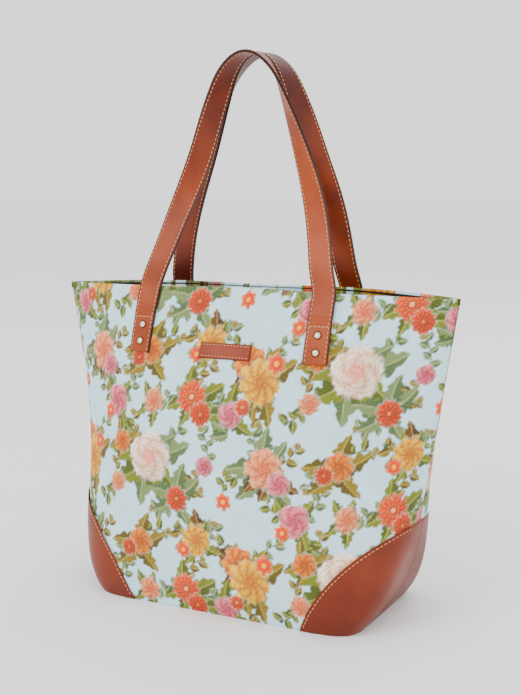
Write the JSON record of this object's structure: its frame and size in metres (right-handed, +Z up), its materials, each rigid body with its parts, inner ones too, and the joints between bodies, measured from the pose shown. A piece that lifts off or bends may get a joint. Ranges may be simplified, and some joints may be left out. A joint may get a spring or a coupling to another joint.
{
  "type": "tote bag",
  "caption": "Open cloth tote bag with a floral print, leather corner patches and two riveted leather handles.",
  "frame": {"origin": "middle of the base, on the surface that the bag stands on", "axes": "+Z up through the handles, +X to the right along the front, the front faces -Y"},
  "size_m": [0.4186, 0.1592, 0.5207],
  "materials": {
    "printed_cloth": "matte",
    "lining_cloth": "matte",
    "patch_leather": "satin",
    "strap_leather": "satin",
    "label_leather": "satin",
    "rivet_brass": "satin",
    "snap_steel": "satin",
    "board": "matte"
  },
  "bodies": {
    "root": {"front_panel": "printed_cloth", "back_panel": "printed_cloth", "base_panel": "printed_cloth", "base_board": "board", "front_lining": "lining_cloth", "back_lining": "lining_cloth", "floor_lining": "lining_cloth", "label": "label_leather", "snap_socket": "snap_steel", "snap_stud": "snap_steel", "front_right_corner_patch": "patch_leather", "front_left_corner_patch": "patch_leather", "front_handle_face": "strap_leather", "front_handle_backing": "strap_leather", "front_rivet_head_left_upper": "rivet_brass", "front_rivet_back_left_upper": "rivet_brass", "front_rivet_head_left_lower": "rivet_brass", "front_rivet_back_left_lower": "rivet_brass", "front_rivet_head_right_upper": "rivet_brass", "front_rivet_back_right_upper": "rivet_brass", "front_rivet_head_right_lower": "rivet_brass", "front_rivet_back_right_lower": "rivet_brass", "back_right_corner_patch": "patch_leather", "back_left_corner_patch": "patch_leather", "back_handle_face": "strap_leather", "back_handle_backing": "strap_leather", "back_rivet_head_left_upper": "rivet_brass", "back_rivet_back_left_upper": "rivet_brass", "back_rivet_head_left_lower": "rivet_brass", "back_rivet_back_left_lower": "rivet_brass", "back_rivet_head_right_upper": "rivet_brass", "back_rivet_back_right_upper": "rivet_brass", "back_rivet_head_right_lower": "rivet_brass", "back_rivet_back_right_lower": "rivet_brass"}
  },
  "joints": []
}
